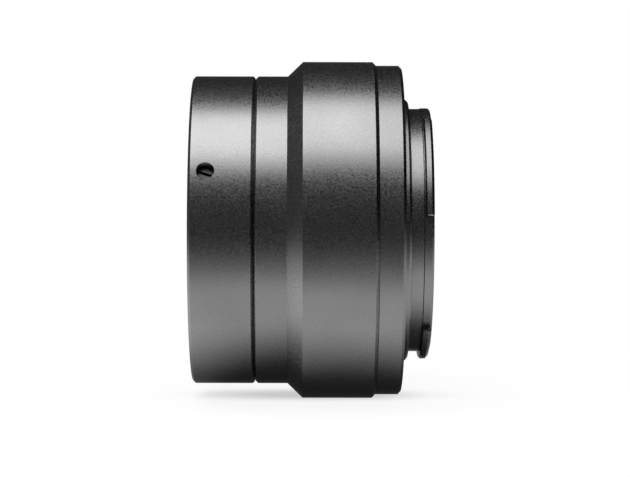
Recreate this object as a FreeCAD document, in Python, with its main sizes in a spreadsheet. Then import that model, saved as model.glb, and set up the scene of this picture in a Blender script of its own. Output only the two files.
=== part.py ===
import FreeCAD, Part
import os
import Sketcher

# T-mount adapter, lying with its optical axis along X as it does when it is on a camera.
# The origin is the centre of the camera flange face. The camera is on the +X side, the lens
# screws in on the -X side, and +Z is up. Lengths are in millimetres and angles in degrees.
# Angles round the axis start at +Z and turn from +Z towards -Y.

dimensions = {
    # Stations along the axis
    "seatToFlange": 37.0,
    "sleeveLength": 11.13,
    "neckLength": 5.7,
    "taperLength": 2.7,
    "flangeThickness": 4.5,
    # Threaded ring, and the groove that the clamp screws press into
    "tThreadBore": 41.2,
    "tThreadLead": 0.5,
    "tRingWall": 3.7,
    "tRingLength": 6.0,
    "tRingRimChamfer": 0.25,
    "clampGrooveDepth": 1.0,
    # Front sleeve, outside the bore that seats the ring and takes the tube's spigot
    "sleeveWall": 3.15,
    "frontChamfer": 0.45,
    # Each side of the V groove that marks the joint between sleeve and tube
    "partingChamfer": 0.46,
    # Clamp screws
    "clampScrewCount": 3,
    "clampScrewAngle": 65.2,
    "clampScrewFromFront": 3.0,
    "clampScrewDiameter": 2.9,
    "clampScrewLength": 2.3,
    "clampScrewTipFlat": 0.4,
    "clampScrewEdge": 0.15,
    "clampSlotWidth": 0.5,
    "clampSlotDepth": 0.8,
    "clampSlotAngle": 161.5,
    "clampSlotStep": 40.0,
    # Body tube
    "spigotBoreStandBack": 1.0,
    "boreStepBehindJoint": 1.6,
    "tubeWall": 6.1,
    "tubeRearChamferDepth": 0.65,
    "tubeRearChamferLength": 0.6,
    # Light-trap grooves in the bore behind the taper, each as deep as half its width
    "trapPitch": 2.0,
    "trapFromTaper": 0.3,
    "trapFromRegister": 3.1,
    # Bayonet flange, from the barrel outward
    "barrelDiameter": 43.5,
    "barrelWall": 1.95,
    "barrelLength": 5.06,
    "barrelChamfer": 0.3,
    "landHeight": 0.12,
    "landFromEnd": 1.63,
    "pilotStep": 1.65,
    "pilotHeight": 1.18,
    "pilotChamfer": 0.42,
    "faceWidth": 6.05,
    "flangeRimChamfer": 0.5,
    "registerLength": 1.5,
    "registerWall": 1.75,
    "throatConeLength": 3.6,
    # Bayonet lugs
    "lugHeight": 1.3,
    "lugFrontChamfer": 0.25,
    "lugRearChamfer": 0.3,
    "nearLugAngle": 53.9,
    "nearLugSpan": 52.8,
    "nearLugFromEnd": 1.66,
    "nearLugThickness": 1.66,
    "lowLugAngle": 165.05,
    "lowLugSpan": 56.9,
    "lowLugFromEnd": 1.81,
    "lowLugThickness": 1.55,
    "farLugAngle": 297.5,
    "farLugSpan": 60.0,
    "farLugFromEnd": 1.66,
    "farLugThickness": 1.66,
    # Flange screws
    "flangeScrewCount": 4,
    "flangeScrewAngle": 32.0,
    "flangeScrewDiameter": 1.9,
    "flangeScrewHead": 3.7,
    "flangeScrewReach": 3.5,
    "flangeScrewSink": 0.1,
    "flangeTapSpare": 0.8,
    # Lock-pin socket and index dot
    "lockPinDiameter": 3.0,
    "lockPinDepth": 2.0,
    "lockPinAngle": 347.0,
    "dotDiameter": 1.7,
    "dotDepth": 0.35,
    "dotAngle": 317.0,
    # Clearances
    "runningGap": 0.05,
    "endGap": 0.06,
    "threadGap": 0.05,
    "clampGap": 0.05,
    "enamelGap": 0.02,
    # How far a cutting shape runs past the surface that it cuts
    "cutPast": 0.4,
}

doc = FreeCAD.newDocument("AdapterRing")
sheet = doc.addObject("Spreadsheet::Sheet", "Dims")
for row, (alias, value) in enumerate(dimensions.items(), start=1):
    sheet.set(f"A{row}", alias)
    sheet.set(f"B{row}", str(value))
    sheet.setAlias(f"B{row}", alias)
doc.recompute()

# Places that several pieces share, as expressions on the sheet. The lens side is sized outward
# from the thread, and the camera side outward from the barrel.
front = "(-Dims.seatToFlange)"
parting = f"({front} + Dims.sleeveLength)"
tubeRear = "(-Dims.flangeThickness)"

threadR = "(Dims.tThreadBore / 2)"
ringR = f"({threadR} + Dims.tRingWall)"
ringRear = f"({front} + Dims.tRingLength)"
seatR = f"({ringR} + Dims.runningGap)"
sleeveR = f"({seatR} + Dims.sleeveWall)"
spigotR = f"({seatR} - Dims.threadGap)"
spigotBoreR = f"({threadR} + Dims.spigotBoreStandBack)"
spigotFront = f"({ringRear} + Dims.endGap)"

clampX = f"({front} + Dims.clampScrewFromFront)"
clampR = "(Dims.clampScrewDiameter / 2)"
clampTipR = "(Dims.clampScrewTipFlat / 2)"
clampTip = f"({ringR} - Dims.clampGrooveDepth + {clampTipR} + Dims.clampGap)"
clampTop = f"({clampTip} + Dims.clampScrewLength)"

barrelR = "(Dims.barrelDiameter / 2)"
throatR = f"({barrelR} - Dims.barrelWall)"
pilotR = f"({barrelR} + Dims.pilotStep)"
flangeR = f"({pilotR} + Dims.faceWidth)"
tubeR = f"({flangeR} + Dims.tubeRearChamferDepth)"
tubeBoreR = f"({tubeR} - Dims.tubeWall)"
registerFront = f"({tubeRear} - Dims.registerLength)"

screwCircleR = f"({pilotR} + Dims.faceWidth / 2)"
screwR = "(Dims.flangeScrewDiameter / 2)"
screwHeadR = "(Dims.flangeScrewHead / 2)"
screwTip = f"({tubeRear} - Dims.flangeScrewReach)"
dotX = "(-Dims.flangeThickness / 2)"
dotR = "(Dims.dotDiameter / 2)"
dotFloor = f"({flangeR} - Dims.dotDepth)"


# A turn about X, by one degree until an expression gives its angle
aboutX = FreeCAD.Placement(FreeCAD.Vector(0, 0, 0), FreeCAD.Rotation(FreeCAD.Vector(1, 0, 0), 1))


def newBody(label):
    body = doc.addObject("PartDesign::Body", label)
    body.Label = label
    return body


def originFeature(body, role):
    return next(item for item in body.Origin.OriginFeatures if item.Role == role)


def newSketch(body, name, plane, angle=None):
    # A sketch on one of the body's own planes, turned about the X axis by an angle expression
    sketch = body.newObject("Sketcher::SketchObject", name)
    sketch.AttachmentSupport = [(originFeature(body, plane), "")]
    sketch.MapMode = "FlatFace"
    if angle is not None:
        sketch.AttachmentOffset = aboutX
        sketch.setExpression("AttachmentOffset.Rotation.Angle", angle)
    return sketch


def outline(sketch, points):
    # A closed outline of straight edges whose every corner is placed by two expressions
    corners = []
    for across, along in points:
        x = float(sketch.evalExpression(across))
        y = float(sketch.evalExpression(along))
        corners.append(FreeCAD.Vector(x, y, 0))
    edges = []
    for index, corner in enumerate(corners):
        following = corners[(index + 1) % len(corners)]
        edges.append(sketch.addGeometry(Part.LineSegment(corner, following), False))
    for index, edge in enumerate(edges):
        following = edges[(index + 1) % len(edges)]
        sketch.addConstraint(Sketcher.Constraint("Coincident", edge, 2, following, 1))
    for edge, corner, expressions in zip(edges, corners, points):
        for kind, value, expression in zip(("DistanceX", "DistanceY"), (corner.x, corner.y), expressions):
            number = sketch.addConstraint(Sketcher.Constraint(kind, -1, 1, edge, 1, value))
            sketch.setExpression(f"Constraints[{number}]", expression)


def crossAxis(sketch, place, upright):
    # A construction line to turn an outline about: upright at a place along X, or level at a radius
    value = float(sketch.evalExpression(place))
    if upright:
        ends = (FreeCAD.Vector(value, 0, 0), FreeCAD.Vector(value, 1, 0))
        kinds = ("Vertical", "DistanceX")
    else:
        ends = (FreeCAD.Vector(0, value, 0), FreeCAD.Vector(1, value, 0))
        kinds = ("Horizontal", "DistanceY")
    line = sketch.addGeometry(Part.LineSegment(*ends), True)
    sketch.addConstraint(Sketcher.Constraint(kinds[0], line))
    number = sketch.addConstraint(Sketcher.Constraint(kinds[1], -1, 1, line, 1, value))
    sketch.setExpression(f"Constraints[{number}]", place)


def turned(body, name, points):
    # A ring or tube: the outline lies in the XZ plane and is turned once round the X axis
    sketch = newSketch(body, name + "_outline", "XZ_Plane")
    outline(sketch, points)
    ring = body.newObject("PartDesign::Revolution", name)
    ring.Profile = sketch
    ring.ReferenceAxis = (sketch, ["H_Axis"])
    ring.Angle = 360
    sketch.Visibility = False
    return ring


def turnedAcross(body, name, kind, points, place, upright, angle=None):
    # A pin or a hole that is round about its own axis, in the XZ plane turned about X by an angle
    sketch = newSketch(body, name + "_outline", "XZ_Plane", angle)
    outline(sketch, points)
    crossAxis(sketch, place, upright)
    feature = body.newObject(kind, name)
    feature.Profile = sketch
    feature.ReferenceAxis = (sketch, ["Axis0"])
    feature.Angle = 360
    return feature


def aroundAxis(body, name, feature, count):
    ring = body.newObject("PartDesign::PolarPattern", name)
    ring.Originals = [feature]
    ring.Axis = (originFeature(body, "X_Axis"), [""])
    ring.Angle = 360
    ring.Occurrences = int(sheet.evalExpression(count))
    ring.setExpression("Occurrences", count)
    body.Tip = ring
    return ring


def turnWholeBody(body, angle):
    body.Placement = aboutX
    body.setExpression("Placement.Rotation.Angle", angle)


# Front sleeve: the outer collar. Its bore seats the threaded ring at the front and takes the
# tube's spigot at the rear, and three tapped holes through its wall carry the clamp screws
def makeFrontSleeve():
    body = newBody("front_sleeve")
    turned(body, "sleeve_ring", [
        (front, f"{sleeveR} - Dims.frontChamfer"),
        (f"{front} + Dims.frontChamfer", sleeveR),
        (f"{parting} - Dims.partingChamfer", sleeveR),
        (parting, f"{sleeveR} - Dims.partingChamfer"),
        (parting, seatR),
        (front, seatR),
    ])
    holeR = f"({clampR} + Dims.threadGap)"
    inside = f"({seatR} - Dims.cutPast)"
    outside = f"({sleeveR} + Dims.cutPast)"
    hole = turnedAcross(body, "clamp_hole", "PartDesign::Groove", [
        (clampX, inside),
        (f"{clampX} + {holeR}", inside),
        (f"{clampX} + {holeR}", outside),
        (clampX, outside),
    ], clampX, True)
    aroundAxis(body, "clamp_holes", hole, "Dims.clampScrewCount")
    turnWholeBody(body, "Dims.clampScrewAngle")
    return body


# Threaded ring: the lens screws into its bore, and the groove round it takes the screw tips
def makeThreadedRing():
    body = newBody("t_ring")
    rim = "Dims.tRingRimChamfer"
    lead = "Dims.tThreadLead"
    depth = "Dims.clampGrooveDepth"
    turned(body, "threaded_ring", [
        (front, f"{threadR} + {lead}"),
        (front, f"{ringR} - {rim}"),
        (f"{front} + {rim}", ringR),
        (f"{clampX} - {depth}", ringR),
        (clampX, f"{ringR} - {depth}"),
        (f"{clampX} + {depth}", ringR),
        (ringRear, ringR),
        (ringRear, f"{threadR} + {lead}"),
        (f"{ringRear} - {lead}", threadR),
        (f"{front} + {lead}", threadR),
    ])
    return body


# Clamp screw: a slotted grub screw with a cone point, built standing on +Z and turned into place
def makeClampScrew(number):
    body = newBody(f"clamp_screw_{number}")
    edge = "Dims.clampScrewEdge"
    turnedAcross(body, "shank", "PartDesign::Revolution", [
        (clampX, clampTip),
        (f"{clampX} + {clampTipR}", clampTip),
        (f"{clampX} + {clampR}", f"{clampTip} + {clampR} - {clampTipR}"),
        (f"{clampX} + {clampR}", f"{clampTop} - {edge}"),
        (f"{clampX} + {clampR} - {edge}", clampTop),
        (clampX, clampTop),
    ], clampX, True)

    slotSketch = newSketch(body, "slot_outline", "YZ_Plane")
    upright = FreeCAD.Rotation(FreeCAD.Vector(0, 1, 0), 1)
    slotSketch.AttachmentOffset = FreeCAD.Placement(FreeCAD.Vector(0, 0, 0), upright)
    slotSketch.setExpression("AttachmentOffset.Base.z", clampX)
    slotTurn = f"Dims.clampSlotAngle + {number - 1} * Dims.clampSlotStep"
    slotSketch.setExpression("AttachmentOffset.Rotation.Angle", slotTurn)
    half = "(Dims.clampSlotWidth / 2)"
    outline(slotSketch, [
        (f"-{half}", f"{clampTop} - Dims.clampSlotDepth"),
        (half, f"{clampTop} - Dims.clampSlotDepth"),
        (half, f"{clampTop} + Dims.cutPast"),
        (f"-{half}", f"{clampTop} + Dims.cutPast"),
    ])
    slot = body.newObject("PartDesign::Pocket", "driver_slot")
    slot.Profile = slotSketch
    slot.Type = "Length"
    slot.Midplane = True
    slot.setExpression("Length", "2 * Dims.clampScrewDiameter")
    turnWholeBody(body, f"Dims.clampScrewAngle + {number - 1} * 360 / Dims.clampScrewCount")
    return body


# Body tube: the spigot that the ring stops against, the neck, the 45 degree taper and the widest
# cylinder, bored from the rear, with V grooves along the bore that trap stray light and tapped
# holes for the flange screws
def makeBodyTube():
    body = newBody("body_tube")
    neckRear = f"({parting} + Dims.neckLength)"
    taperRear = f"({neckRear} + Dims.taperLength)"
    boreStep = f"({parting} + Dims.boreStepBehindJoint)"
    turned(body, "tube_ring", [
        (spigotFront, spigotBoreR),
        (spigotFront, spigotR),
        (parting, spigotR),
        (parting, f"{sleeveR} - Dims.partingChamfer"),
        (f"{parting} + Dims.partingChamfer", sleeveR),
        (neckRear, sleeveR),
        (taperRear, tubeR),
        (f"{tubeRear} - Dims.tubeRearChamferLength", tubeR),
        (tubeRear, flangeR),
        (tubeRear, tubeBoreR),
        (boreStep, tubeBoreR),
        (boreStep, spigotBoreR),
    ])

    trapSketch = newSketch(body, "trap_outline", "XZ_Plane")
    trapStart = f"({taperRear} + Dims.trapFromTaper)"
    trapSpan = f"({registerFront} - Dims.trapFromRegister - {trapStart})"
    half = "(Dims.trapPitch / 2)"
    outline(trapSketch, [
        (trapStart, f"{tubeBoreR} - Dims.cutPast"),
        (f"{trapStart} + Dims.trapPitch", f"{tubeBoreR} - Dims.cutPast"),
        (f"{trapStart} + Dims.trapPitch", tubeBoreR),
        (f"{trapStart} + {half}", f"{tubeBoreR} + {half}"),
        (trapStart, tubeBoreR),
    ])
    trap = body.newObject("PartDesign::Groove", "light_trap")
    trap.Profile = trapSketch
    trap.ReferenceAxis = (trapSketch, ["H_Axis"])
    trap.Angle = 360
    traps = body.newObject("PartDesign::LinearPattern", "light_traps")
    traps.Originals = [trap]
    traps.Direction = (originFeature(body, "X_Axis"), [""])
    traps.Mode = "Spacing"
    traps.setExpression("Offset", "Dims.trapPitch")
    traps.setExpression("Occurrences", f"floor({trapSpan} / Dims.trapPitch)")
    body.Tip = traps

    tapR = f"({screwR} + Dims.threadGap)"
    tapEnd = f"({screwTip} - Dims.flangeTapSpare)"
    hole = turnedAcross(body, "flange_tap", "PartDesign::Groove", [
        (tapEnd, screwCircleR),
        (tapEnd, f"{screwCircleR} + {tapR}"),
        (f"{tubeRear} + Dims.cutPast", f"{screwCircleR} + {tapR}"),
        (f"{tubeRear} + Dims.cutPast", screwCircleR),
    ], screwCircleR, False, "Dims.flangeScrewAngle")
    aroundAxis(body, "flange_taps", hole, "Dims.flangeScrewCount")
    return body


# One bayonet lug: its section with both chamfers, turned through its span about the X axis
def addLug(body, name):
    sketch = newSketch(body, name + "_section", "XZ_Plane", f"Dims.{name}Angle")
    lugR = f"({barrelR} + Dims.lugHeight)"
    lugFront = f"(Dims.barrelLength - Dims.{name}FromEnd)"
    lugRear = f"({lugFront} + Dims.{name}Thickness)"
    root = f"({barrelR} - Dims.barrelWall / 2)"
    outline(sketch, [
        (lugFront, root),
        (lugFront, f"{lugR} - Dims.lugFrontChamfer"),
        (f"{lugFront} + Dims.lugFrontChamfer", lugR),
        (f"{lugRear} - Dims.lugRearChamfer", lugR),
        (lugRear, f"{lugR} - Dims.lugRearChamfer"),
        (lugRear, root),
    ])
    lug = body.newObject("PartDesign::Revolution", name)
    lug.Profile = sketch
    lug.ReferenceAxis = (sketch, ["H_Axis"])
    lug.Midplane = True
    lug.setExpression("Angle", f"Dims.{name}Span")


# Bayonet flange: register that centres it in the tube, camera face, pilot step, barrel, three lugs
# of unequal spacing, four sunk screw holes, the lock-pin socket and the recess of the index dot
def makeBayonetFlange():
    body = newBody("bayonet_flange")
    registerR = f"({tubeBoreR} - Dims.runningGap)"
    landR = f"({barrelR} + Dims.landHeight)"
    landFront = "(Dims.barrelLength - Dims.landFromEnd)"
    turned(body, "flange_ring", [
        (registerFront, f"{registerR} - Dims.registerWall"),
        (registerFront, registerR),
        (tubeRear, registerR),
        (tubeRear, flangeR),
        ("-Dims.flangeRimChamfer", flangeR),
        ("0", f"{flangeR} - Dims.flangeRimChamfer"),
        ("0", pilotR),
        ("Dims.pilotHeight - Dims.pilotChamfer", pilotR),
        ("Dims.pilotHeight", f"{pilotR} - Dims.pilotChamfer"),
        ("Dims.pilotHeight", barrelR),
        (landFront, barrelR),
        (landFront, landR),
        ("Dims.barrelLength - Dims.barrelChamfer", landR),
        ("Dims.barrelLength", f"{landR} - Dims.barrelChamfer"),
        ("Dims.barrelLength", throatR),
        (f"{registerFront} + Dims.throatConeLength", throatR),
    ])
    for name in ("nearLug", "lowLug", "farLug"):
        addLug(body, name)

    holeR = f"({screwR} + 2 * Dims.threadGap)"
    sinkR = f"({screwHeadR} + Dims.threadGap)"
    hole = turnedAcross(body, "sunk_hole", "PartDesign::Groove", [
        (f"{tubeRear} - Dims.cutPast", screwCircleR),
        (f"{tubeRear} - Dims.cutPast", f"{screwCircleR} + {holeR}"),
        (f"-{sinkR} + {holeR} - Dims.flangeScrewSink", f"{screwCircleR} + {holeR}"),
        ("-Dims.flangeScrewSink", f"{screwCircleR} + {sinkR}"),
        ("Dims.cutPast", f"{screwCircleR} + {sinkR}"),
        ("Dims.cutPast", screwCircleR),
    ], screwCircleR, False, "Dims.flangeScrewAngle")
    aroundAxis(body, "sunk_holes", hole, "Dims.flangeScrewCount")

    socketR = "(Dims.lockPinDiameter / 2)"
    turnedAcross(body, "lock_pin_socket", "PartDesign::Groove", [
        ("-Dims.lockPinDepth", screwCircleR),
        ("-Dims.lockPinDepth", f"{screwCircleR} + {socketR}"),
        ("Dims.cutPast", f"{screwCircleR} + {socketR}"),
        ("Dims.cutPast", screwCircleR),
    ], screwCircleR, False, "Dims.lockPinAngle")

    recessR = f"({dotR} + Dims.enamelGap)"
    recess = turnedAcross(body, "dot_recess", "PartDesign::Groove", [
        (dotX, dotFloor),
        (f"{dotX} + {recessR}", dotFloor),
        (f"{dotX} + {recessR}", f"{flangeR} + Dims.cutPast"),
        (dotX, f"{flangeR} + Dims.cutPast"),
    ], dotX, True, "Dims.dotAngle")
    body.Tip = recess
    return body


# Flange screws: four countersunk screws in one node, heads just under the camera face
def makeFlangeScrews():
    body = newBody("flange_screws")
    headTop = "(-Dims.flangeScrewSink)"
    screw = turnedAcross(body, "screw", "PartDesign::Revolution", [
        (screwTip, screwCircleR),
        (screwTip, f"{screwCircleR} + {screwR}"),
        (f"{headTop} - {screwHeadR} + {screwR}", f"{screwCircleR} + {screwR}"),
        (headTop, f"{screwCircleR} + {screwHeadR}"),
        (headTop, screwCircleR),
    ], screwCircleR, False, "Dims.flangeScrewAngle")
    aroundAxis(body, "screws", screw, "Dims.flangeScrewCount")
    return body


# Index dot: a disc of enamel in the recess on the rim of the flange
def makeIndexDot():
    body = newBody("index_dot")
    dotTop = f"({flangeR} - 2 * Dims.enamelGap)"
    turnedAcross(body, "disc", "PartDesign::Revolution", [
        (dotX, dotFloor),
        (f"{dotX} + {dotR}", dotFloor),
        (f"{dotX} + {dotR}", dotTop),
        (dotX, dotTop),
    ], dotX, True)
    turnWholeBody(body, "Dims.dotAngle")
    return body


pieces = [makeFrontSleeve(), makeThreadedRing()]
for number in range(1, int(sheet.get("clampScrewCount")) + 1):
    pieces.append(makeClampScrew(number))
pieces += [makeBodyTube(), makeBayonetFlange(), makeFlangeScrews(), makeIndexDot()]
doc.recompute()

for item in doc.Objects:
    if "Invalid" in item.State or "Error" in item.State:
        raise RuntimeError(f"{item.Label} did not recompute: {item.State}")
for piece in pieces:
    if piece.Shape.isNull() or not piece.Shape.isValid():
        raise RuntimeError(f"{piece.Label} has no valid shape")

os.makedirs("parts", exist_ok=True)
for piece in pieces:
    piece.Shape.exportStep(f"parts/{piece.Label}.step")
    size = piece.Shape.BoundBox
    print(f"{piece.Label}: {len(piece.Shape.Solids)} solid(s), {piece.Shape.Volume:.1f} mm3, "
          f"X {size.XMin:.2f} to {size.XMax:.2f}")
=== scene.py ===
import math

import bmesh
import bpy
from mathutils import Matrix, Quaternion, Vector


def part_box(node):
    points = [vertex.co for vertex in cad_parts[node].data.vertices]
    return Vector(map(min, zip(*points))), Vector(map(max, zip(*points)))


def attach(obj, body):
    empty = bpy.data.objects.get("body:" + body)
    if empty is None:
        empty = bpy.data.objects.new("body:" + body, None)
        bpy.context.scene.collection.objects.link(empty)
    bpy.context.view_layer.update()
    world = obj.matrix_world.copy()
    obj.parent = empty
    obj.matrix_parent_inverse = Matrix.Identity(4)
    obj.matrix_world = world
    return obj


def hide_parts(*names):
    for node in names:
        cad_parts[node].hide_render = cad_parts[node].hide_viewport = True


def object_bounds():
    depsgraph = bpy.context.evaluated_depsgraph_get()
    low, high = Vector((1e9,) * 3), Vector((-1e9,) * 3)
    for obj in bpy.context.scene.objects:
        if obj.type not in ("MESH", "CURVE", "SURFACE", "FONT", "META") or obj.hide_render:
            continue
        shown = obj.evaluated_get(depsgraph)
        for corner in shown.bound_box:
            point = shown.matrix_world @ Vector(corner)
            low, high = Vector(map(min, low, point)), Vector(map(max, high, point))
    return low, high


# T-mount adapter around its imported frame. The optical axis is X, the camera side is +X and +Z is
# up. Sizes in the dictionaries are in millimetres, Blender works in metres.
mm = 0.001
toolPast = 1.0      # how far a cutting tool runs past the face that it cuts
wideSteps, screwSteps, tapSteps, smallSteps = 240, 96, 64, 48   # steps round a turned piece
noiseSpan = {"From Min": 0.3, "From Max": 0.7}      # where nearly all values of a noise lie
# Corners of a 60 degree thread in pitches: start and end of its root, start and end of its crest
threadCorners = (0, 0.25, 0.5625, 0.6875)

print("Loading the frame")
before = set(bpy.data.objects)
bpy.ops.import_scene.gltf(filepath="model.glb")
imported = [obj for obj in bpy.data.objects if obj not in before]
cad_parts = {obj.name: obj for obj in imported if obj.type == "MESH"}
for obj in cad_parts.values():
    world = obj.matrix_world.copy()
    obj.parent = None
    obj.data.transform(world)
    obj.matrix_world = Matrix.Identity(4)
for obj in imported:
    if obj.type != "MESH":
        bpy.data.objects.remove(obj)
cadLow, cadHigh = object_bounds()
adapterBody = "adapter_body"


def span(node):
    # Where a node starts and ends along the axis, and its outer radius, in millimetres
    low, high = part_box(node)
    return low.x / mm, high.x / mm, high.z / mm


def hexColour(text):
    # sRGB hex to the linear colour that a shader takes
    channels = [int(text[i:i + 2], 16) / 255 for i in (1, 3, 5)]
    linear = [c / 12.92 if c <= 0.04045 else ((c + 0.055) / 1.055) ** 2.4 for c in channels]
    return (*linear, 1.0)


def addNode(tree, kind, settings=None, links=None):
    # One node with its settings, and the sockets that feed it
    node = tree.nodes.new(kind)
    for name, value in (settings or {}).items():
        if isinstance(name, str) and hasattr(node, name):
            setattr(node, name, value)
        else:
            node.inputs[name].default_value = value
    for name, source in (links or {}).items():
        tree.links.new(source, node.inputs[name])
    return node


def newMaterial(name):
    material = bpy.data.materials.new(name)
    material.use_nodes = True
    tree = material.node_tree
    tree.nodes.clear()
    output = addNode(tree, "ShaderNodeOutputMaterial")
    return material, tree, output


def softenCorners(profile, radius, steps=3, closed=True, flatDegrees=12, mostOfEdge=0.3):
    # Rounds every corner of an outline by a small radius, less where an edge is short
    rounded = []
    count = len(profile)
    for i, corner in enumerate(profile):
        if not closed and i in (0, count - 1):
            rounded.append(corner)
            continue
        here = Vector(corner)
        back, ahead = Vector(profile[i - 1]) - here, Vector(profile[(i + 1) % count]) - here
        turn = math.pi - back.angle(ahead)
        if turn < math.radians(flatDegrees):
            rounded.append(tuple(here))
            continue
        trim = min(radius * math.tan(turn / 2), mostOfEdge * back.length,
                   mostOfEdge * ahead.length)
        start, end = here + back.normalized() * trim, here + ahead.normalized() * trim
        for step in range(steps + 1):
            share = step / steps
            near = start.lerp(here, share)
            rounded.append(tuple(near.lerp(here.lerp(end, share), share)))
    return rounded


def addColumns(shape, columns, fixed=0, shift=0):
    # Joins columns of points into a closed skin round the axis. A thread has come one pitch
    # further after a turn, so past the fixed points the last column meets the first that far on.
    verts = [[shape.verts.new(point) for point in column] for column in columns]
    count = len(verts[0])
    seam = [verts[0][k if k < fixed else min(k + shift, count - 1)] for k in range(count)]
    for here, there in zip(verts, verts[1:] + [seam]):
        for k in range(count):
            n = (k + 1) % count
            corners = dict.fromkeys((here[k], here[n], there[n], there[k]))
            if len(corners) > 2:
                shape.faces.new(list(corners))


def around(x, radius, turn):
    # A point round the axis. The turn starts at +Z and goes towards -Y, as the part's angles do.
    return Vector((x, -radius * math.sin(turn), radius * math.cos(turn))) * mm


def finishMesh(shape, name, merge=1e-7):
    bmesh.ops.remove_doubles(shape, verts=shape.verts, dist=merge)
    bmesh.ops.dissolve_degenerate(shape, edges=shape.edges, dist=merge)
    bare = [edge for edge in shape.edges if not edge.link_faces]
    bmesh.ops.delete(shape, geom=bare, context="EDGES")
    bmesh.ops.recalc_face_normals(shape, faces=shape.faces)
    mesh = bpy.data.meshes.new(name)
    shape.to_mesh(mesh)
    shape.free()
    piece = bpy.data.objects.new(name, mesh)
    bpy.context.scene.collection.objects.link(piece)
    return piece


def turnedPiece(name, profile, segments=wideSteps):
    # A closed outline of (place along the axis, radius), turned once round the axis
    shape = bmesh.new()
    turns = [2 * math.pi * j / segments for j in range(segments)]
    addColumns(shape, [[around(x, r, turn) for x, r in profile] for turn in turns])
    return finishMesh(shape, name)


def threadHeight(place):
    # Height of the thread at a place counted in pitches: 0 in the root, 1 on the crest
    place = place % 1
    rootEnd, crestStart = threadCorners[1:3]
    return min(1, max(0, min(place - rootEnd, 1 - place) / (crestStart - rootEnd)))


def threadColumn(turn, low, high, thread, limit):
    # One column of thread corners between two places along X, kept inside the plain shape
    # that the limit gives
    pitch, innerR, outerR = thread
    points = []
    for pitches in range(-1, math.ceil((high - low) / pitch) + 1):
        for corner in threadCorners:
            place = pitches + corner + turn / (2 * math.pi)
            x = min(max(low + pitch * place, low), high)
            height = threadHeight((x - low) / pitch - turn / (2 * math.pi))
            points.append((x, limit(x, innerR + (outerR - innerR) * height)))
    return points


def threadedPiece(name, fixed, low, high, thread, limit, segments=wideSteps):
    # A plain outline, closed by a helical thread that runs from the low place to the high one
    shape = bmesh.new()
    columns = []
    for j in range(segments):
        turn = 2 * math.pi * j / segments
        outline = fixed + threadColumn(turn, low, high, thread, limit)
        columns.append([around(x, r, turn) for x, r in outline])
    addColumns(shape, columns, len(fixed), len(threadCorners))
    return finishMesh(shape, name)


def placeAcross(piece, x, turn):
    # A pin made along X is stood up at x, pointing outward at that turn round the axis
    outward = around(0, 1 / mm, turn)
    along = Vector((1, 0, 0))
    basis = Matrix((outward, along, outward.cross(along))).transposed()
    piece.data.transform(Matrix.Translation((x * mm, 0, 0)) @ basis.to_4x4())
    return piece


def placeAlong(piece, radius, turn):
    piece.data.transform(Matrix.Translation(around(0, radius, turn)))
    return piece


def combine(piece, tool, how):
    # Cuts the tool away, or joins it on, and throws the tool away
    change = piece.modifiers.new(how.lower(), "BOOLEAN")
    change.operation = how
    change.solver = "EXACT"
    change.object = tool
    applyModifiers(piece)
    bpy.data.objects.remove(tool)


def applyModifiers(piece):
    bpy.context.view_layer.update()
    evaluated = piece.evaluated_get(bpy.context.evaluated_depsgraph_get())
    mesh = bpy.data.meshes.new_from_object(evaluated)
    mesh.name = piece.name
    old = piece.data
    piece.modifiers.clear()
    piece.data = mesh
    bpy.data.meshes.remove(old)


def mendCuts(piece, merge=1e-6):
    # Closes the slivers that the cuts leave, which are under a thousandth of a millimetre
    shape = bmesh.new()
    shape.from_mesh(piece.data)
    bmesh.ops.remove_doubles(shape, verts=shape.verts, dist=merge)
    bmesh.ops.dissolve_degenerate(shape, edges=shape.edges, dist=merge)
    bmesh.ops.holes_fill(shape, edges=shape.edges, sides=8)
    shape.to_mesh(piece.data)
    shape.free()


def finishPiece(piece, material, body, node, sharpDegrees=32):
    # Even shading on wide faces with crisp narrow edges, then the finish and the frame's node
    mendCuts(piece)
    piece.data.shade_smooth()
    piece.data.set_sharp_from_angle(angle=math.radians(sharpDegrees))
    even = piece.modifiers.new("evenShading", "WEIGHTED_NORMAL")
    even.keep_sharp = True
    piece.data.materials.clear()
    piece.data.materials.append(material)
    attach(piece, body)
    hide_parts(node)
    return piece


# Finishes, each with its sizes as the process leaves them

def dimples(tree, place, finish):
    # Noise as coarse as the marks that glass beads leave
    beads = addNode(tree, "ShaderNodeTexNoise",
                    {"Scale": 1 / (finish["markMm"] * mm), "Detail": 4.0, "Roughness": 0.65},
                    {"Vector": place})
    return beads.outputs["Fac"]


def turnedLines(tree, place, finish):
    # Noise that changes along the axis and outward from it but not round it, as a lathe's marks
    parts = addNode(tree, "ShaderNodeSeparateXYZ", {}, {0: place})
    across = addNode(tree, "ShaderNodeCombineXYZ", {},
                     {1: parts.outputs["Y"], 2: parts.outputs["Z"]})
    outward = addNode(tree, "ShaderNodeVectorMath", {"operation": "LENGTH"},
                      {0: across.outputs[0]})
    drawn = addNode(tree, "ShaderNodeCombineXYZ", {},
                    {0: parts.outputs["X"], 1: outward.outputs["Value"]})
    lines = addNode(tree, "ShaderNodeTexNoise",
                    {"Scale": 1 / (finish["markMm"] * mm), "Detail": 1.0, "Roughness": 0.5},
                    {"Vector": drawn.outputs[0]})
    return lines.outputs["Fac"]


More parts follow.
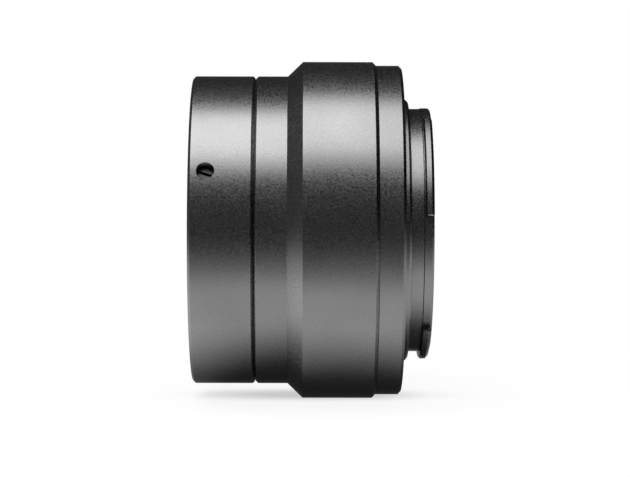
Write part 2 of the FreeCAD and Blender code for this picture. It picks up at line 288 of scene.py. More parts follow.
def makeMetal(name, finish, marksOf):
    # Metal with fine marks in its gloss and relief, and slow clouds in its colour
    material, tree, output = newMaterial(name)
    place = addNode(tree, "ShaderNodeTexCoord").outputs["Object"]
    marks = marksOf(tree, place, finish)
    clouds = addNode(tree, "ShaderNodeTexNoise",
                     {"Scale": 1 / (finish["cloudMm"] * mm), "Detail": 3.0}, {"Vector": place})
    rough = addNode(tree, "ShaderNodeMapRange",
                    {**noiseSpan, "To Min": finish["roughness"][0],
                     "To Max": finish["roughness"][1]},
                    {"Value": marks})
    tone = addNode(tree, "ShaderNodeMapRange",
                   {**noiseSpan, "To Min": 1 - finish["clouding"],
                    "To Max": 1 + finish["clouding"]},
                   {"Value": clouds.outputs["Fac"]})
    speckle = addNode(tree, "ShaderNodeMapRange",
                      {**noiseSpan, "To Min": 1 - finish["speckle"],
                       "To Max": 1 + finish["speckle"]},
                      {"Value": marks})
    shade = addNode(tree, "ShaderNodeMath", {"operation": "MULTIPLY"},
                    {0: tone.outputs["Result"], 1: speckle.outputs["Result"]})
    colour = addNode(tree, "ShaderNodeVectorMath",
                     {"operation": "SCALE", 0: hexColour(finish["colour"])[:3]},
                     {"Scale": shade.outputs[0]})
    relief = addNode(tree, "ShaderNodeBump",
                     {"Strength": 1.0, "Distance": finish["depthMm"] * mm},
                     {"Height": marks})
    surface = addNode(tree, "ShaderNodeBsdfPrincipled",
                      {"Metallic": 1.0, "Specular Tint": hexColour(finish["edgeTint"])},
                      {"Base Color": colour.outputs["Vector"],
                       "Roughness": rough.outputs["Result"],
                       "Normal": relief.outputs["Normal"]})
    tree.links.new(surface.outputs["BSDF"], output.inputs["Surface"])
    return material


blastedAluminium = {
    "colour": "#6a6a6a",        # dyed black, but the oxide keeps the sheen of the metal
    "edgeTint": "#a8a8a8",      # the dyed layer swallows more light at a grazing angle
    "roughness": (0.18, 0.43),  # satin: bead blasting before the anodising bath
    "markMm": 0.30,             # dimples of the glass beads, really 0.1, drawn coarser to show
    "depthMm": 0.011,
    "speckle": 0.15,            # dull dimples come out lighter than polished ones
    "clouding": 0.05,           # slow change of tone from the dye
    "cloudMm": 9.0,
}
turnedAluminium = {
    "colour": "#565656",
    "edgeTint": "#a8a8a8",
    "roughness": (0.24, 0.38),
    "markMm": 0.16,             # the lathe's feed; a real one is half of that
    "depthMm": 0.004,
    "speckle": 0.04,
    "clouding": 0.04,
    "cloudMm": 7.0,
}
blackSteel = {
    "colour": "#484848",
    "edgeTint": "#b0b0b0",
    "roughness": (0.26, 0.42),
    "markMm": 0.12,
    "depthMm": 0.003,
    "speckle": 0.05,
    "clouding": 0.12,           # blacking takes unevenly
    "cloudMm": 1.1,
}
stainlessSteel = {
    "colour": "#b4b3b0",
    "edgeTint": "#ffffff",
    "roughness": (0.22, 0.34),
    "markMm": 0.1,
    "depthMm": 0.002,
    "speckle": 0.02,
    "clouding": 0.03,
    "cloudMm": 1.6,
}
whiteEnamel = {
    "colour": "#e9e7e1",
    "roughness": (0.22, 0.34),
    "rippleMm": 0.5,
    "depthMm": 0.006,
}


def makeEnamel(finish=whiteEnamel):
    # Filled enamel: a smooth white drop with a soft shine and faint ripples
    material, tree, output = newMaterial("whiteEnamelFilled")
    place = addNode(tree, "ShaderNodeTexCoord").outputs["Object"]
    ripples = addNode(tree, "ShaderNodeTexNoise",
                      {"Scale": 1 / (finish["rippleMm"] * mm), "Detail": 2.0}, {"Vector": place})
    rough = addNode(tree, "ShaderNodeMapRange",
                    {**noiseSpan, "To Min": finish["roughness"][0],
                     "To Max": finish["roughness"][1]},
                    {"Value": ripples.outputs["Fac"]})
    relief = addNode(tree, "ShaderNodeBump",
                     {"Strength": 1.0, "Distance": finish["depthMm"] * mm},
                     {"Height": ripples.outputs["Fac"]})
    surface = addNode(tree, "ShaderNodeBsdfPrincipled",
                      {"Base Color": hexColour(finish["colour"])},
                      {"Roughness": rough.outputs["Result"], "Normal": relief.outputs["Normal"]})
    tree.links.new(surface.outputs["BSDF"], output.inputs["Surface"])
    return material


print("Materials")
# An even satin grey-black with a fine sparkle of dimples
blasted = makeMetal("blackAnodisedAluminiumBlasted", blastedAluminium, dimples)
# Darker, with faint rings round the axis
turnedBlack = makeMetal("blackAnodisedAluminiumTurned", turnedAluminium, turnedLines)
# Nearly black and a little blotched
blackOxide = makeMetal("blackOxideSteelTurned", blackSteel, dimples)
# Bright, with a soft haze on the heads
stainless = makeMetal("stainlessSteelPolished", stainlessSteel, dimples)
enamel = makeEnamel()

frontX, jointX, sleeveR = span("front_sleeve")
ringFrontX, ringRearX, ringR = span("t_ring")

sleeve = {
    "seatGap": 0.05,           # the ring's play in the sleeve
    "frontChamfer": 0.45,
    "jointChamfer": 0.46,      # half of the V groove where sleeve and tube meet
    "jointGap": (0.14, 1.0),   # the crack at its bottom, width and depth
    "gapLip": 0.01,            # keeps the crack's edges sharp
    "edgeRound": 0.09,
    "screwCount": 3,
    "screwTurn": 65.2,         # degrees from straight up towards the side seen here
    "screwFromFront": 3.0,
    "holeRadius": 1.5,
    "holeMouth": 0.05,
    "holeThread": (0.5, 1.5, 1.62),   # pitch, and the two radii that it runs between
    "plainMouth": 0.08,        # the thread starts this far down each hole
    "tapInside": 0.5,          # how far the tap runs on into the bore
}
sleeveBoreR = ringR + sleeve["seatGap"]
screwX = frontX + sleeve["screwFromFront"]
screwTurns = [math.radians(sleeve["screwTurn"] + i * 360 / sleeve["screwCount"])
              for i in range(sleeve["screwCount"])]


def makeFrontSleeve():
    front, joint = sleeve["frontChamfer"], sleeve["jointChamfer"]
    gap, gapFloorR = sleeve["jointGap"][0], sleeveR - joint - sleeve["jointGap"][1]
    lip = gap + sleeve["gapLip"]
    outline = [
        (frontX, sleeveBoreR), (frontX, sleeveR - front), (frontX + front, sleeveR),
        (jointX - joint, sleeveR), (jointX - lip, sleeveR - joint + lip),
        (jointX - gap, sleeveR - joint + gap), (jointX - gap, gapFloorR), (jointX, gapFloorR),
        (jointX, sleeveBoreR),
    ]
    piece = turnedPiece("frontSleeve", softenCorners(outline, sleeve["edgeRound"]))
    holeR, mouthR = sleeve["holeRadius"], sleeveR - sleeve["holeMouth"]

    def tapped(x, radius):
        return radius if x < sleeveR - sleeve["plainMouth"] else holeR + max(0, x - mouthR)

    inner, outer = sleeveBoreR - sleeve["tapInside"], sleeveR + toolPast
    for turn in screwTurns:
        tap = threadedPiece("tap", [(outer, 0), (inner, 0)], inner, outer, sleeve["holeThread"],
                            tapped, tapSteps)
        combine(piece, placeAcross(tap, screwX, turn), "DIFFERENCE")
    return finishPiece(piece, blasted, adapterBody, "front_sleeve")


lensRing = {
    "thread": (0.75, 20.6, 21.0),  # pitch, and the two radii that it runs between
    "lead": 0.5,                   # chamfer at each end of the thread
    "rimChamfer": 0.25,
    "grooveDepth": 1.0,            # V groove that the clamp screws press into
    "edgeRound": 0.07,
}


def makeLensRing():
    # The ring that a lens screws into, with its thread cut outward from the bore
    ring = lensRing
    rim, groove = ring["rimChamfer"], ring["grooveDepth"]
    leadR = ring["thread"][1] + ring["lead"]
    outline = [
        (ringRearX, leadR), (ringRearX, ringR), (screwX + groove, ringR), (screwX, ringR - groove),
        (screwX - groove, ringR), (ringFrontX + rim, ringR), (ringFrontX, ringR - rim),
        (ringFrontX, leadR),
    ]

    def cone(x, radius):
        return max(radius, leadR - min(x - ringFrontX, ringRearX - x))

    piece = threadedPiece("tRing", softenCorners(outline, ring["edgeRound"], closed=False),
                          ringFrontX, ringRearX, ring["thread"], cone)
    return finishPiece(piece, turnedBlack, "t_ring", "t_ring")


clampScrew = {
    "thread": (0.5, 1.2, 1.45),
    "length": 2.3,
    "tipRadius": 0.2,
    "tipFromGroove": 0.25,      # tip above the bottom of the ring's groove
    "edge": 0.15,
    "slotWidth": 0.5,
    "slotDepth": 0.8,
    "slotReach": 3.0,           # half the length of the bar that cuts it
    "slotTurn": 161.5,          # degrees from the optical axis
    "slotStep": 40.0,           # each screw stopped at its own place
}


def makeSlotTool(top):
    # A bar as wide as the slot, standing out past the top of the screw
    half, reach = clampScrew["slotWidth"] / 2, clampScrew["slotReach"]
    corners = ((-reach, -half), (reach, -half), (reach, half), (-reach, half))
    shape = bmesh.new()
    loops = []
    for x in (top - clampScrew["slotDepth"], top + toolPast):
        loops.append([shape.verts.new(Vector((x, y, z)) * mm) for y, z in corners])
    closeLoft(shape, loops)
    return finishMesh(shape, "slotTool")


def closeLoft(shape, loops):
    # Side faces between one loop and the next, and a cap at each end
    for here, there in zip(loops, loops[1:]):
        for k in range(len(here)):
            n = (k + 1) % len(here)
            shape.faces.new((here[k], here[n], there[n], there[k]))
    shape.faces.new(loops[0][::-1])
    shape.faces.new(loops[-1])


def makeClampScrew(number, turn):
    c = clampScrew
    low = ringR - lensRing["grooveDepth"] + c["tipFromGroove"]
    top = low + c["length"]
    outerR = c["thread"][2]

    def envelope(x, radius):
        return min(radius, c["tipRadius"] + x - low, outerR - c["edge"] + top - x)

    piece = threadedPiece(f"clampScrew{number}", [(top, 0), (low, 0)], low, top, c["thread"],
                          envelope, screwSteps)
    bar = makeSlotTool(top)
    slotTurn = math.radians(c["slotTurn"] + (number - 1) * c["slotStep"])
    bar.data.transform(Matrix.Rotation(slotTurn, 4, "X"))
    combine(piece, bar, "DIFFERENCE")
    placeAcross(piece, screwX, turn)
    node = f"clamp_screw_{number}"
    return finishPiece(piece, blackOxide, node, node)


spigotX, tubeRearX, tubeR = span("body_tube")
registerX, barrelEndX, flangeR = span("bayonet_flange")

tube = {
    "spigotGap": 0.05,
    "spigotBoreR": 21.6,
    "boreStepFromJoint": 1.6,
    "boreR": 24.0,
    "neckLength": 5.7,
    "taperLength": 2.7,
    "rearChamferLength": 0.6,
    "edgeRound": 0.09,
    "trapPitch": 1.0,           # ridges along the bore behind the taper that swallow stray light
    "trapCount": 8,
    "trapFromTaper": 0.3,
}


def makeBodyTube():
    neckRearX = jointX + tube["neckLength"]
    stepX = jointX + tube["boreStepFromJoint"]
    spigotR = sleeveBoreR - tube["spigotGap"]
    joint, lip = sleeve["jointChamfer"], sleeve["gapLip"]
    outline = [
        (spigotX, tube["spigotBoreR"]), (spigotX, spigotR), (jointX, spigotR),
        (jointX, sleeveR - joint), (jointX + lip, sleeveR - joint + lip),
        (jointX + joint, sleeveR), (neckRearX, sleeveR),
        (neckRearX + tube["taperLength"], tubeR), (tubeRearX - tube["rearChamferLength"], tubeR),
        (tubeRearX, flangeR), (tubeRearX, tube["boreR"]),
    ]
    pitch = tube["trapPitch"]
    first = neckRearX + tube["taperLength"] + tube["trapFromTaper"]
    for trap in range(tube["trapCount"], 0, -1):
        outline += [(first + trap * pitch, tube["boreR"]),
                    (first + (trap - 0.5) * pitch, tube["boreR"] + pitch / 2)]
    outline += [(first, tube["boreR"]), (stepX, tube["boreR"]), (stepX, tube["spigotBoreR"])]
    piece = turnedPiece("bodyTube", softenCorners(outline, tube["edgeRound"]))
    return finishPiece(piece, blasted, adapterBody, "body_tube")


flange = {
    "faceX": 0.0,
    "rimChamfer": 0.5,
    "registerGap": 0.05,
    "registerWall": 1.75,
    "barrelR": 21.75,
    "barrelWall": 1.95,
    "barrelChamfer": 0.3,
    "landHeight": 0.12,         # raised land round the end of the barrel
    "landFromEnd": 1.63,
    "pilotR": 23.4,
    "pilotHeight": 1.18,
    "pilotChamfer": 0.42,
    "throatConeLength": 3.6,
    "edgeRound": 0.08,
    "lugHeight": 1.3,
    "lugFrontChamfer": 0.26,
    "lugRearChamfer": 0.45,
    "lugEndEdge": 0.18,
    "lugSteps": 48,
    "lugSharp": 50,             # edges that turn by more degrees than this get that edge
    # each lug: middle and width in degrees, set back from the barrel's end, thickness
    "lugs": [(53.9, 52.8, 1.55, 1.53), (165.05, 56.9, 1.81, 1.55), (297.5, 60.0, 1.66, 1.64)],
    "screwCount": 4,
    "screwTurn": 32.0,
    "screwHoleR": 1.05,
    "sinkR": 1.9,
    "sinkDepth": 0.1,
    "lockPinTurn": 347.0,
    "lockPinR": 1.5,
    "lockPinDepth": 2.0,
    "lockPinMouth": 0.12,
    "dotTurn": 317.0,
    "dotR": 0.87,
    "dotDepth": 0.35,
}


screwCircleR = (flange["pilotR"] + flangeR) / 2


def makeLug(middle, width, fromEnd, thickness):
    # A bar of the lug's section, bent round the barrel, with its two ends closed
    outerR = flange["barrelR"] + flange["lugHeight"]
    rootR = flange["barrelR"] - flange["barrelWall"] / 2
    front = barrelEndX - fromEnd
    rear = front + thickness
    chamfer, back = flange["lugFrontChamfer"], flange["lugRearChamfer"]
    section = [
        (front, rootR), (front, outerR - chamfer), (front + chamfer, outerR),
        (rear - back, outerR), (rear, outerR - back), (rear, rootR),
    ]
    shape = bmesh.new()
    steps = flange["lugSteps"]
    first = math.radians(middle - width / 2)
    columns = []
    for step in range(steps + 1):
        turn = first + math.radians(width) * step / steps
        columns.append([shape.verts.new(around(x, r, turn)) for x, r in section])
    for here, there in zip(columns, columns[1:]):
        for k in range(len(section)):
            n = (k + 1) % len(section)
            shape.faces.new((here[k], here[n], there[n], there[k]))
    shape.faces.new(columns[0][::-1])
    shape.faces.new(columns[-1])
    lug = finishMesh(shape, "lug")
    edges = lug.modifiers.new("endEdges", "BEVEL")
    edges.width = flange["lugEndEdge"] * mm
    edges.segments = 1
    edges.limit_method = "ANGLE"
    edges.angle_limit = math.radians(flange["lugSharp"])
    applyModifiers(lug)
    return lug


def makeBayonetFlange():
    f = flange
    landX = barrelEndX - f["landFromEnd"]
    landR = f["barrelR"] + f["landHeight"]
    throatR = f["barrelR"] - f["barrelWall"]
    registerR = tube["boreR"] - f["registerGap"]
    outline = [
        (registerX, registerR - f["registerWall"]), (registerX, registerR), (tubeRearX, registerR),
        (tubeRearX, flangeR), (f["faceX"] - f["rimChamfer"], flangeR),
        (f["faceX"], flangeR - f["rimChamfer"]), (f["faceX"], f["pilotR"]),
        (f["pilotHeight"] - f["pilotChamfer"], f["pilotR"]),
        (f["pilotHeight"], f["pilotR"] - f["pilotChamfer"]), (f["pilotHeight"], f["barrelR"]),
        (landX - f["landHeight"], f["barrelR"]), (landX, landR),
        (barrelEndX - f["barrelChamfer"], landR),
        (barrelEndX, landR - f["barrelChamfer"]), (barrelEndX, throatR),
        (registerX + f["throatConeLength"], throatR),
    ]
    piece = turnedPiece("bayonetFlange", softenCorners(outline, f["edgeRound"]))
    for lug in f["lugs"]:
        combine(piece, makeLug(*lug), "UNION")
    for i in range(f["screwCount"]):
        turn = math.radians(f["screwTurn"] + i * 360 / f["screwCount"])
        sink = f["sinkR"] - f["screwHoleR"]
        drill = turnedPiece("drill", [
            (tubeRearX - toolPast, 0), (tubeRearX - toolPast, f["screwHoleR"]),
            (-f["sinkDepth"] - sink, f["screwHoleR"]), (-f["sinkDepth"], f["sinkR"]),
            (toolPast, f["sinkR"]), (toolPast, 0),
        ])
        combine(piece, placeAlong(drill, screwCircleR, turn), "DIFFERENCE")
    pinR, mouth = f["lockPinR"], f["lockPinMouth"]
    socket = turnedPiece("drill", [
        (-f["lockPinDepth"], 0), (-f["lockPinDepth"], pinR), (-mouth, pinR),
        (toolPast, pinR + mouth + toolPast), (toolPast, 0),
    ])
    combine(piece, placeAlong(socket, screwCircleR, math.radians(f["lockPinTurn"])),
            "DIFFERENCE")
    dotFloorR, dotTopR = flangeR - f["dotDepth"], flangeR + toolPast
    recess = turnedPiece("drill", [
        (dotFloorR, 0), (dotFloorR, f["dotR"]), (dotTopR, f["dotR"]), (dotTopR, 0),
    ])
    combine(piece, placeAcross(recess, tubeRearX / 2, math.radians(f["dotTurn"])), "DIFFERENCE")
    return finishPiece(piece, blasted, adapterBody, "bayonet_flange")


flangeScrew = {
    "thread": (0.4, 0.76, 0.95),
    "tip": -8.0,
    "headTop": -0.1,            # just under the camera face
    "headR": 1.85,
    "tipChamfer": 0.2,
    "headEdge": 0.08,
    "crossArm": 1.0,            # cross recess: half its width, half the width of an arm
    "crossHalf": 0.19,
    "crossDepth": 0.8,
    "crossFloor": 0.45,         # the recess narrows to this share at its floor
    "crossPast": 0.3,           # how far the tool that cuts it stands out
    "stops": (12.0, 61.0, 35.0, 80.0),   # where each screw stopped, in degrees
}


def makeCrossTool():
    f = flangeScrew
    arm, half = f["crossArm"], f["crossHalf"]
    cross = []
    for quarter in range(4):
        for y, z in ((arm, -half), (arm, half), (half, half)):
            turn = quarter * math.pi / 2
            cross.append((y * math.cos(turn) - z * math.sin(turn),
                          y * math.sin(turn) + z * math.cos(turn)))
    shape = bmesh.new()
    over = f["crossPast"]
    widening = 1 + (1 - f["crossFloor"]) * over / f["crossDepth"]
    loops = []
    for x, share in ((f["headTop"] - f["crossDepth"], f["crossFloor"]),
                     (f["headTop"] + over, widening)):
        loops.append([shape.verts.new(Vector((x, y * share, z * share)) * mm) for y, z in cross])
    closeLoft(shape, loops)
    return finishMesh(shape, "crossTool")


def makeFlangeScrews():
    # One countersunk screw, copied to its four places in a single piece
    f = flangeScrew
    outerR = f["thread"][2]
    neckX = f["headTop"] - f["headR"] + outerR

    def envelope(x, radius):
        if x > neckX:
            return min(outerR + x - neckX, f["headR"] - f["headEdge"] + f["headTop"] - x)
        return min(radius, outerR - f["tipChamfer"] + x - f["tip"])

    screw = threadedPiece("flangeScrew", [(f["headTop"], 0), (f["tip"], 0)], f["tip"],
                          f["headTop"], f["thread"], envelope, smallSteps)
    combine(screw, makeCrossTool(), "DIFFERENCE")
    shape = bmesh.new()
    for i, stop in enumerate(f["stops"]):
        turn = math.radians(flange["screwTurn"] + i * 360 / flange["screwCount"])
        turnedMesh = screw.data.copy()
        turnedMesh.transform(Matrix.Translation(around(0, screwCircleR, turn))
                             @ Matrix.Rotation(math.radians(stop), 4, "X"))
        shape.from_mesh(turnedMesh)
        bpy.data.meshes.remove(turnedMesh)
    bpy.data.objects.remove(screw)
    screws = finishMesh(shape, "flangeScrews")
    return finishPiece(screws, stainless, adapterBody, "flange_screws")


indexDot = {
    "radius": 0.85,
    "floor": 0.35,              # depth of its recess
    "sunk": 0.04,               # the crown stays under the rim
    "crown": 0.06,
    "crownSteps": (0.25, 0.5, 0.7, 0.9),    # shares of the radius
    "rim": 0.02,
}


def makeIndexDot():
    d = indexDot
    floorR, topR = flangeR - d["floor"], flangeR - d["sunk"]
    crown = [(topR - d["crown"] * share ** 2, d["radius"] * share) for share in d["crownSteps"]]
    outline = [(topR, 0), *crown, (topR - d["crown"] - d["rim"], d["radius"]),
               (floorR, d["radius"]), (floorR, 0)]
    piece = placeAcross(turnedPiece("indexDot", outline, smallSteps), tubeRearX / 2,
                        math.radians(flange["dotTurn"]))
    return finishPiece(piece, enamel, adapterBody, "index_dot")


print("Front sleeve")
makeFrontSleeve()
print("Lens ring")
makeLensRing()
print("Clamp screws")
for number, turn in enumerate(screwTurns, start=1):
    makeClampScrew(number, turn)
print("Body tube")
makeBodyTube()
print("Bayonet flange")
makeBayonetFlange()
print("Flange screws")
makeFlangeScrews()
print("Index dot")
makeIndexDot()

studio = {
    "floorRadiusMm": 400.0,
    # The paper as the camera sees it
    "paperColour": "#8a8a8a",         # what the lamps add to the glow of the white paper
    "paperGlow": 0.56,                # the glow alone, where the shadow is deepest
    "paperFadeMm": (70.0, 130.0),     # over this distance the paper turns into plain white
    "paintedShadowFadeMiddleMm": (0.0, 2.5, 0.0),    # the real shadow shows deep only in a strip under the object; painted white glow hides it over this distance from the strip's middle line (the strip is this much longer than it is wide) and leaves this share of it outside the strip
    "paintedShadowFadeMm": (1.5, 11.5),      # fades over this distance from the strip's middle line
    "paintedShadowFadeStretch": 3.0,             # (the strip is this much longer than it is wide)
    "paintedShadowFadeOutside": 0.2,             # and keeps this share outside it
    # The paper as the gloss of the metal sees it: a painted glow, which the lamps don't light
    "paintedBounceLight": 1.65,              # painted bounce light at its brightest in the painted shade painted shade under the object, most under its wide end,
    "paintedBounceFloor": 0.12,              # in the shade
    "paintedShadeCentreMm": (4.5, 0.0, 0.0),     # dark under the object, most under its wide end,
    "paintedShadeSqueeze": (0.7, 1.0, 0.0),      # in an oval that is longer along the axis
    "paintedShadeRiseMm": (13.0, 33.0),      # and brightens over this distance from its centre
    "paintedBounceReachMm": 53.0,            # from here on it loses light with distance,
    "paintedBounceFall": 2.2,                # by this power of it,
    "paintedBounceStretch": 3.0,             # more slowly along the object than towards the camera
    "paintedPatchCentreMm": (-55.0, -14.0, 0.0),     # a painted patch of light beside the lens end
    "paintedPatchReachMm": (10.0, 45.0),
    "paintedPatchLight": 0.78,
    # Each panel of light: name, height, ends along X, ends along Y, radiance
    "lampPanels": [
        ("overheadSoftboxWide", 300.0, (-300.0, 300.0), (-310.0, 70.0), 2.3),
        ("overheadSoftboxCore", 290.0, (-300.0, 35.0), (-205.0, 22.0), 3.22),
    ],
    # The dark room, a painted reflection seen only in the object's gloss
    "roomRadiusMm": 360.0,
    "roomTopMm": 306.0,
    "roomSteps": 48,
    "paintedRoomGlow": (0.0, 0.175),         # its painted glow, from its dark end to its light end
    "paintedRoomGlowFrom": (-1.0, -0.3, 0.0),    # the light end is at the lens and a little towards us
}


def makeFloor():
    shape = bmesh.new()
    bmesh.ops.create_circle(shape, cap_ends=True, segments=64, radius=studio["floorRadiusMm"] * mm)
    mesh = bpy.data.meshes.new("studioFloor")
    shape.to_mesh(mesh)
    shape.free()
    floor = bpy.data.objects.new("studioFloor", mesh)
    floor.location = ((cadLow.x + cadHigh.x) / 2, 0, cadLow.z)
    bpy.context.scene.collection.objects.link(floor)
    mesh.materials.append(makePaper())
    return floor


def makePaper():
    # Matt white paper. The camera sees it white with a faint shadow, whose edge is painted white
    # glow; the gloss of the metal sees a painted glow round the object, with painted shade and
    # light.
    material, tree, output = newMaterial("whitePaperWithPaintedGlow")
    place = addNode(tree, "ShaderNodeTexCoord").outputs["Object"]
    path = addNode(tree, "ShaderNodeLightPath")
    # Away from a strip under the object, painted white glow covers the real shadow, and far out
    # the paper turns into plain white
    offMiddle = addNode(tree, "ShaderNodeVectorMath",
                        {"operation": "SUBTRACT", 1: Vector(studio["paintedShadowFadeMiddleMm"]) * mm},
                        {0: place})
    narrowed = addNode(tree, "ShaderNodeVectorMath",
                       {"operation": "MULTIPLY", 1: (1 / studio["paintedShadowFadeStretch"], 1, 0)},
                       {0: offMiddle.outputs["Vector"]})
    fades = []
    for source, reach, most in ((place, studio["paperFadeMm"], 1.0),
                                (narrowed.outputs["Vector"], studio["paintedShadowFadeMm"],
                                 1 - studio["paintedShadowFadeOutside"])):
        away = addNode(tree, "ShaderNodeVectorMath", {"operation": "LENGTH"}, {0: source})
        fades.append(addNode(tree, "ShaderNodeMapRange",
                             {"interpolation_type": "SMOOTHSTEP", "From Min": reach[0] * mm,
                              "From Max": reach[1] * mm, "To Max": most},
                             {"Value": away.outputs["Value"]}).outputs["Result"])
    fade = addNode(tree, "ShaderNodeMath", {"operation": "MAXIMUM"}, {0: fades[0], 1: fades[1]})
    paper = addNode(tree, "ShaderNodeMix",
                    {"data_type": "RGBA", 6: hexColour(studio["paperColour"]), 7: (0, 0, 0, 1)},
                    {0: fade.outputs[0]})
    whiteness = addNode(tree, "ShaderNodeMapRange", {"To Min": studio["paperGlow"], "To Max": 1.0},
                        {"Value": fade.outputs[0]})
    straight = addNode(tree, "ShaderNodeMath", {"operation": "MAXIMUM"},
                       {0: path.outputs["Is Camera Ray"], 1: path.outputs["Is Transmission Ray"]})
    seen = addNode(tree, "ShaderNodeMath", {"operation": "MULTIPLY"},
                   {0: whiteness.outputs["Result"], 1: straight.outputs[0]})
    lit = addNode(tree, "ShaderNodeBsdfDiffuse", {}, {"Color": paper.outputs[2]})
    white = addNode(tree, "ShaderNodeEmission", {}, {"Strength": seen.outputs[0]})
    plain = addNode(tree, "ShaderNodeAddShader", {}, {0: lit.outputs["BSDF"],
                                                      1: white.outputs["Emission"]})

    # Painted light on the paper round the object, in distances stretched along the axis
    squeezed = addNode(tree, "ShaderNodeVectorMath",
                       {"operation": "MULTIPLY", 1: (1 / studio["paintedBounceStretch"], 1, 0)},
                       {0: place})
    reach = addNode(tree, "ShaderNodeVectorMath", {"operation": "LENGTH"},
                    {0: squeezed.outputs["Vector"]})
    share = addNode(tree, "ShaderNodeMath",
                    {"operation": "DIVIDE", 0: studio["paintedBounceReachMm"] * mm},
                    {1: reach.outputs["Value"]})
    fall = addNode(tree, "ShaderNodeMath", {"operation": "POWER", 1: studio["paintedBounceFall"]},
                   {0: share.outputs[0]})
    capped = addNode(tree, "ShaderNodeMath", {"operation": "MINIMUM", 1: 1.0},
                     {0: fall.outputs[0]})
    # Painted shade under the object
    fromCentre = addNode(tree, "ShaderNodeVectorMath",
                         {"operation": "SUBTRACT", 1: Vector(studio["paintedShadeCentreMm"]) * mm},
                         {0: place})
    squeezedPaintedShade = addNode(tree, "ShaderNodeVectorMath",
                            {"operation": "MULTIPLY", 1: studio["paintedShadeSqueeze"]},
                            {0: fromCentre.outputs["Vector"]})
    aside = addNode(tree, "ShaderNodeVectorMath", {"operation": "LENGTH"},
                    {0: squeezedPaintedShade.outputs["Vector"]})
    rise = addNode(tree, "ShaderNodeMapRange",
                   {"interpolation_type": "SMOOTHSTEP",
                    "From Min": studio["paintedShadeRiseMm"][0] * mm,
                    "From Max": studio["paintedShadeRiseMm"][1] * mm},
                   {"Value": aside.outputs["Value"]})
    paintedBounce = addNode(tree, "ShaderNodeMath", {"operation": "MULTIPLY"},
                     {0: capped.outputs[0], 1: rise.outputs["Result"]})
    glow = addNode(tree, "ShaderNodeMapRange",
                   {"To Min": studio["paintedBounceFloor"], "To Max": studio["paintedBounceLight"]},
                   {"Value": paintedBounce.outputs[0]})
    # Painted patch of light beside the lens end
    fromPatch = addNode(tree, "ShaderNodeVectorMath",
                        {"operation": "DISTANCE", 1: Vector(studio["paintedPatchCentreMm"]) * mm},
                        {0: place})
    paintedPatch = addNode(tree, "ShaderNodeMapRange",
                    {"interpolation_type": "SMOOTHSTEP",
                     "From Min": studio["paintedPatchReachMm"][0] * mm,
                     "From Max": studio["paintedPatchReachMm"][1] * mm,
                     "To Min": studio["paintedPatchLight"], "To Max": 0.0},
                    {"Value": fromPatch.outputs["Value"]})
    together = addNode(tree, "ShaderNodeMath", {"operation": "ADD"},
                       {0: glow.outputs["Result"], 1: paintedPatch.outputs["Result"]})
    # The painted glow that only gloss sees
    paintedBounceGlow = addNode(tree, "ShaderNodeEmission", {}, {"Strength": together.outputs[0]})
    either = addNode(tree, "ShaderNodeMixShader", {}, {0: path.outputs["Is Glossy Ray"],
                                                      1: plain.outputs["Shader"],
                                                      2: paintedBounceGlow.outputs["Emission"]})
    tree.links.new(either.outputs["Shader"], output.inputs["Surface"])
    return material


def makeRoom():
    # Dark walls and ceiling that only gloss can see: a painted reflection, so that the metal stays
    # black beside its lights, with a faint painted glow
    radius, top = studio["roomRadiusMm"] * mm, studio["roomTopMm"] * mm
    middleR = 1.0 * mm      # the ceiling's faces end just short of its middle
    shape = bmesh.new()
    segments = studio["roomSteps"]
    rims = []
    for ring, height in ((radius, cadLow.z), (radius, top), (middleR, top)):
        rims.append([shape.verts.new((math.cos(turn) * ring, math.sin(turn) * ring, height))
                     for turn in (2 * math.pi * i / segments for i in range(segments))])
    for lower, upper in zip(rims, rims[1:]):
        for i in range(segments):
            j = (i + 1) % segments
            shape.faces.new((lower[i], lower[j], upper[j], upper[i]))
    mesh = bpy.data.meshes.new("paintedReflectionRoom")
    shape.to_mesh(mesh)
    shape.free()
    room = bpy.data.objects.new("paintedReflectionRoom", mesh)
    bpy.context.scene.collection.objects.link(room)
    room.visible_camera = False
    room.visible_shadow = False
    room.visible_diffuse = False
    # Painted reflection: walls that glow faintly, brighter towards the lens end
    material, tree, output = newMaterial("paintedReflectionWalls")
    place = addNode(tree, "ShaderNodeTexCoord").outputs["Object"]
    towards = addNode(tree, "ShaderNodeVectorMath",
                      {"operation": "DOT_PRODUCT", 1: studio["paintedRoomGlowFrom"]}, {0: place})
    glow = addNode(tree, "ShaderNodeMapRange",
                   {"From Min": -radius, "From Max": radius,
                    "To Min": studio["paintedRoomGlow"][0], "To Max": studio["paintedRoomGlow"][1]},
                   {"Value": towards.outputs["Value"]})
    surface = addNode(tree, "ShaderNodeEmission", {}, {"Strength": glow.outputs["Result"]})
    tree.links.new(surface.outputs["Emission"], output.inputs["Surface"])
    mesh.materials.append(material)
    return room


def makeLamp(name, place, size, radiance):
    # A level panel of light, facing down
    lamp = bpy.data.lights.new(name, "AREA")
    lamp.shape = "RECTANGLE"
    lamp.size, lamp.size_y = (side * mm for side in size)
    lamp.energy = radiance * math.pi * lamp.size * lamp.size_y
    holder = bpy.data.objects.new(name, lamp)
    holder.location = place
    bpy.context.scene.collection.objects.link(holder)
    return holder


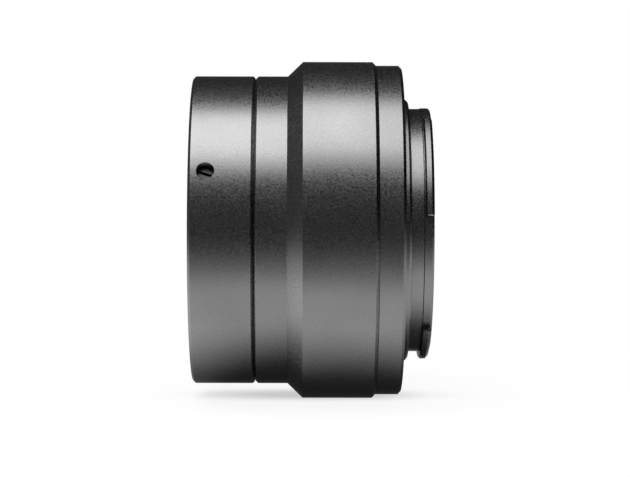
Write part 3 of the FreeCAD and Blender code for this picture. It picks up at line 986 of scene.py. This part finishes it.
def makeWorld():
    world = bpy.data.worlds.new("whiteRoom")
    world.use_nodes = True
    tree = world.node_tree
    tree.nodes.clear()
    output = addNode(tree, "ShaderNodeOutputWorld")
    sky = addNode(tree, "ShaderNodeBackground", {"Color": (1, 1, 1, 1), "Strength": 1.0})
    tree.links.new(sky.outputs["Background"], output.inputs["Surface"])
    bpy.context.scene.world = world


print("Studio")
makeFloor()
makeRoom()
makeWorld()
middle = Vector(((cadLow.x + cadHigh.x) / 2, 0, 0))
for name, height, (left, right), (near, far), radiance in studio["lampPanels"]:
    place = middle + Vector(((left + right) / 2, (near + far) / 2, height)) * mm
    makeLamp(name, place, (right - left, far - near), radiance)

photoView = {
    "imageWidth": 630,
    "imageHeight": 477,
    "focalPixels": 2374.0,
    "distanceMm": 426.7,
    "elevation": 3.5,
    "footX": 304.3,            # image column that looks square on the axis
    "footXMm": -17.2,          # and the place on the axis that it meets
    "axisRow": 229.9,          # image row of the optical axis
    "rollDegrees": 0.14,
}


def makeCamera():
    view = photoView
    lens = bpy.data.cameras.new("photoCamera")
    lens.sensor_width = 36.0
    lens.lens = lens.sensor_width * view["focalPixels"] / view["imageWidth"]
    camera = bpy.data.objects.new("photoCamera", lens)
    rise = math.radians(view["elevation"])
    away = Vector((0, -math.cos(rise), math.sin(rise))) * view["distanceMm"] * mm
    camera.location = Vector((view["footXMm"] * mm, 0, 0)) + away
    perPixel = view["distanceMm"] / view["focalPixels"]
    acrossMm = (view["imageWidth"] / 2 - view["footX"]) * perPixel
    downMm = (view["imageHeight"] / 2 - view["axisRow"]) * perPixel
    aim = Vector((view["footXMm"] + acrossMm, 0, -downMm / math.cos(rise))) * mm
    look = (aim - camera.location).to_track_quat("-Z", "Y")
    roll = Quaternion((0, 0, 1), math.radians(view["rollDegrees"]))
    camera.rotation_mode = "QUATERNION"
    camera.rotation_quaternion = look @ roll
    bpy.context.scene.collection.objects.link(camera)
    bpy.context.scene.camera = camera


print("Camera")
makeCamera()
bpy.context.scene.view_settings.view_transform = "Standard"
